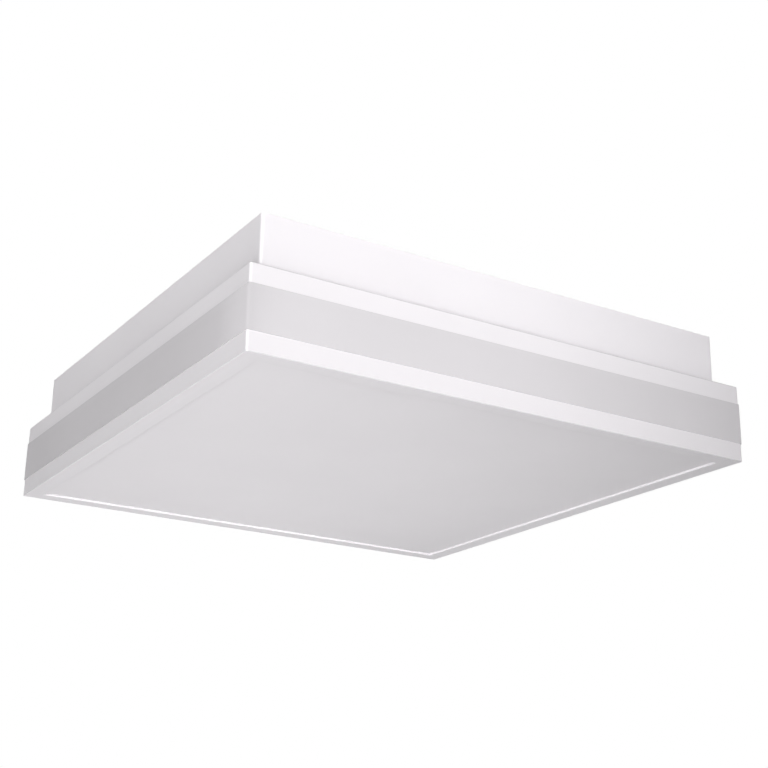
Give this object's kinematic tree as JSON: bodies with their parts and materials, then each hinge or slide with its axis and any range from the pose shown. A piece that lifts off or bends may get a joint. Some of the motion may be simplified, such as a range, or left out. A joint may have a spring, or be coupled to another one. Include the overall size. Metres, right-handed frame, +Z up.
{
  "type": "square led ceiling light",
  "caption": "Square surface-mounted ceiling light: white steel pan with LED gear and a magnetic shade of white rails, opal side band and recessed opal diffuser.",
  "frame": {"origin": "centre of the pan's face that meets the ceiling", "axes": "+Z up into the ceiling, so the lamp hangs towards -Z; X along the LED boards and the screw slots"},
  "size_m": [0.3008, 0.3008, 0.0734],
  "materials": {
    "white_steel": "satin white powder coat",
    "white_plastic": "fine satin moulded plastic",
    "opal_plastic": "satin opal acrylic",
    "zinc_steel": "bright zinc plate",
    "magnet_nickel": "nickel plate",
    "board_mask": "white solder mask on an aluminium core",
    "led_package": "white package with a yellow phosphor window",
    "clear_lens": "clear moulded lens",
    "connector_white": "white nylon",
    "driver_white": "fine matte plastic",
    "circuit_green": "green solder mask",
    "winding_tape": "yellow tape on dark ferrite",
    "capacitor_sleeve": "black shrink sleeve",
    "terminal_grey": "grey polyamide",
    "button_orange": "orange polyamide",
    "clamp_brass": "plain brass strip",
    "grommet_rubber": "soft black rubber",
    "clip_white": "white polyamide",
    "brown_insulation": "brown wire insulation",
    "blue_insulation": "blue wire insulation",
    "earth_insulation": "green and yellow wire insulation",
    "red_insulation": "red wire insulation",
    "black_insulation": "black wire insulation",
    "white_insulation": "white wire insulation"
  },
  "bodies": {
    "ceiling_base": {"pan_plate": "white_steel", "pan_frame": "white_steel", "gear_plate": "white_steel", "pan_standoffs": "zinc_steel", "gear_plate_screws": "zinc_steel", "terminal_screws": "zinc_steel", "driver_screws": "zinc_steel", "board_screws": "zinc_steel", "earth_post": "zinc_steel", "earth_lug": "zinc_steel", "earth_washer": "zinc_steel", "earth_screw": "clamp_brass", "terminal_clamps": "clamp_brass", "cable_grommet": "grommet_rubber", "terminal_body": "terminal_grey", "driver_base": "driver_white", "driver_cover": "driver_white", "driver_circuit": "circuit_green", "driver_transformer": "winding_tape", "driver_capacitors": "capacitor_sleeve", "board_connectors": "connector_white", "lead_clips": "clip_white", "board_link_ad": "white_insulation", "board_link_ab": "white_insulation", "board_link_cd": "white_insulation", "positive_lead": "red_insulation", "negative_lead": "black_insulation", "live_lead": "brown_insulation", "neutral_lead": "blue_insulation", "earth_lead": "earth_insulation", "led_board_a": "board_mask", "led_chips_a": "led_package", "led_lenses_a": "clear_lens", "led_board_b": "board_mask", "led_chips_b": "led_package", "led_lenses_b": "clear_lens", "led_board_c": "board_mask", "led_chips_c": "led_package", "led_lenses_c": "clear_lens", "led_board_d": "board_mask", "led_chips_d": "led_package", "led_lenses_d": "clear_lens"},
    "shade": {"upper_frame": "white_plastic", "side_band": "opal_plastic", "lower_frame": "white_plastic", "diffuser": "opal_plastic", "frame_screws": "zinc_steel", "magnets": "magnet_nickel"},
    "release_button_live": {"release_button_live": "button_orange"},
    "release_button_neutral": {"release_button_neutral": "button_orange"},
    "release_button_earth": {"release_button_earth": "button_orange"}
  },
  "joints": [
    {"name": "shade_pull", "type": "slide", "parent": "ceiling_base", "child": "shade", "axis": [0, 0, -1], "range_m": [0, 0.12]},
    {"name": "press_live", "type": "slide", "parent": "ceiling_base", "child": "release_button_live", "axis": [0, 0, 1], "range_m": [0, 0.0016], "stiffness_N_per_m": 1500},
    {"name": "press_neutral", "type": "slide", "parent": "ceiling_base", "child": "release_button_neutral", "axis": [0, 0, 1], "range_m": [0, 0.0016], "stiffness_N_per_m": 1500},
    {"name": "press_earth", "type": "slide", "parent": "ceiling_base", "child": "release_button_earth", "axis": [0, 0, 1], "range_m": [0, 0.0016], "stiffness_N_per_m": 1500}
  ]
}
